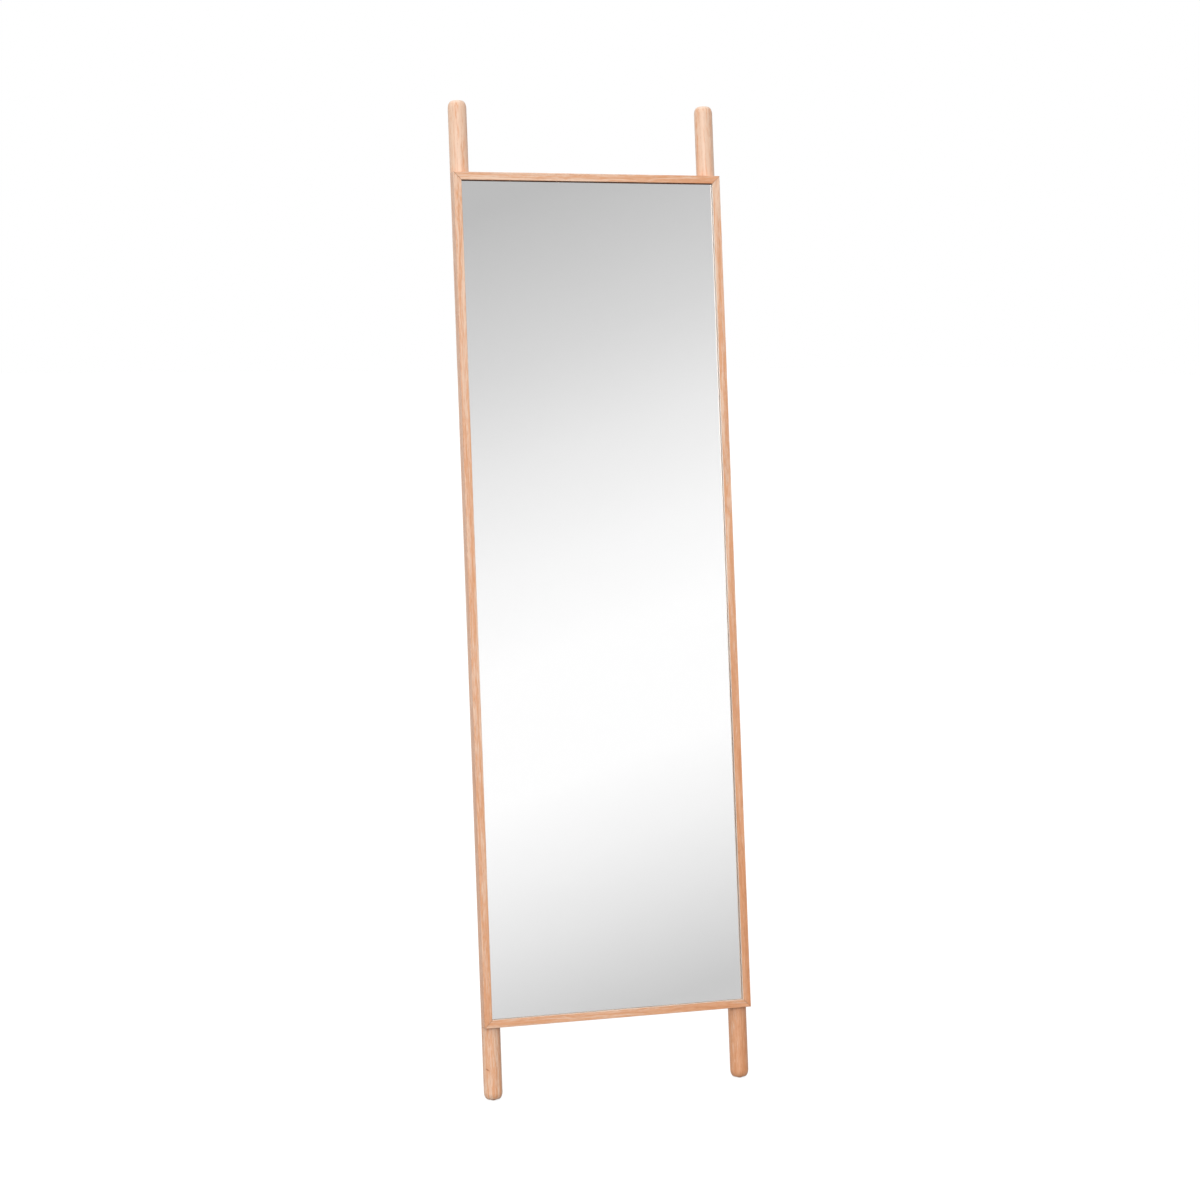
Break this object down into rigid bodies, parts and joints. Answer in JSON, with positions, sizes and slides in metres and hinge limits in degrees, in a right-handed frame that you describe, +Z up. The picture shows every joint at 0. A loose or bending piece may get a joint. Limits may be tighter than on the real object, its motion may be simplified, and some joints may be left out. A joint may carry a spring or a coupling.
{
  "type": "leaning floor mirror",
  "caption": "Tall leaning floor mirror: a slim mitred oak frame housed into round oak posts that stand on the floor and lean on the wall.",
  "frame": {"origin": "on the floor, half way between the two feet, with the mirror leaning back in use", "axes": "+Z up, the glass faces -Y, the top leans towards +Y and the wall, +X is the viewer's right"},
  "size_m": [0.525, 0.2775, 1.8568],
  "materials": {
    "oak": "light oak, oiled, fine straight grain",
    "silvered_glass": "clear float glass, silvered behind",
    "board": "raw fibreboard",
    "foam_tape": "white foam",
    "dark_rubber": "matt",
    "tan_rubber": "tan, matt",
    "steel": "zinc plated"
  },
  "bodies": {
    "mirror": {"back_board": "board", "board_clip_bottom_left": "steel", "board_clip_bottom_right": "steel", "board_clip_screw_bottom_left": "steel", "board_clip_screw_bottom_right": "steel", "board_clip_screw_top_left": "steel", "board_clip_screw_top_right": "steel", "board_clip_top_left": "steel", "board_clip_top_right": "steel", "bottom_rail": "oak", "foot_pad_left": "tan_rubber", "foot_pad_right": "tan_rubber", "hanger_plate_left": "steel", "hanger_plate_right": "steel", "hanger_screw_left_1": "steel", "hanger_screw_left_2": "steel", "hanger_screw_right_1": "steel", "hanger_screw_right_2": "steel", "mirror_glass": "silvered_glass", "mirror_tape_left": "foam_tape", "mirror_tape_middle": "foam_tape", "mirror_tape_right": "foam_tape", "mitre_key_bottom_left": "oak", "mitre_key_bottom_right": "oak", "mitre_key_top_left": "oak", "mitre_key_top_right": "oak", "post_left": "oak", "post_plug_left_1": "oak", "post_plug_left_2": "oak", "post_plug_left_3": "oak", "post_plug_left_4": "oak", "post_plug_right_1": "oak", "post_plug_right_2": "oak", "post_plug_right_3": "oak", "post_plug_right_4": "oak", "post_right": "oak", "post_screw_left_1": "steel", "post_screw_left_2": "steel", "post_screw_left_3": "steel", "post_screw_left_4": "steel", "post_screw_right_1": "steel", "post_screw_right_2": "steel", "post_screw_right_3": "steel", "post_screw_right_4": "steel", "setting_block_left": "dark_rubber", "setting_block_right": "dark_rubber", "stile_left": "oak", "stile_right": "oak", "top_rail": "oak", "wall_bumper_left": "dark_rubber", "wall_bumper_right": "dark_rubber"},
    "ring_left": {"hanger_ring_left": "steel"},
    "ring_right": {"hanger_ring_right": "steel"}
  },
  "joints": [
    {"name": "ring_left_hinge", "type": "hinge", "parent": "mirror", "child": "ring_left", "pos_m": [-0.15, 0.21398, 1.63757], "axis": [1, 0, 0], "range_deg": [-5, 170]},
    {"name": "ring_right_hinge", "type": "hinge", "parent": "mirror", "child": "ring_right", "pos_m": [0.15, 0.21398, 1.63757], "axis": [1, 0, 0], "range_deg": [-5, 170]}
  ]
}
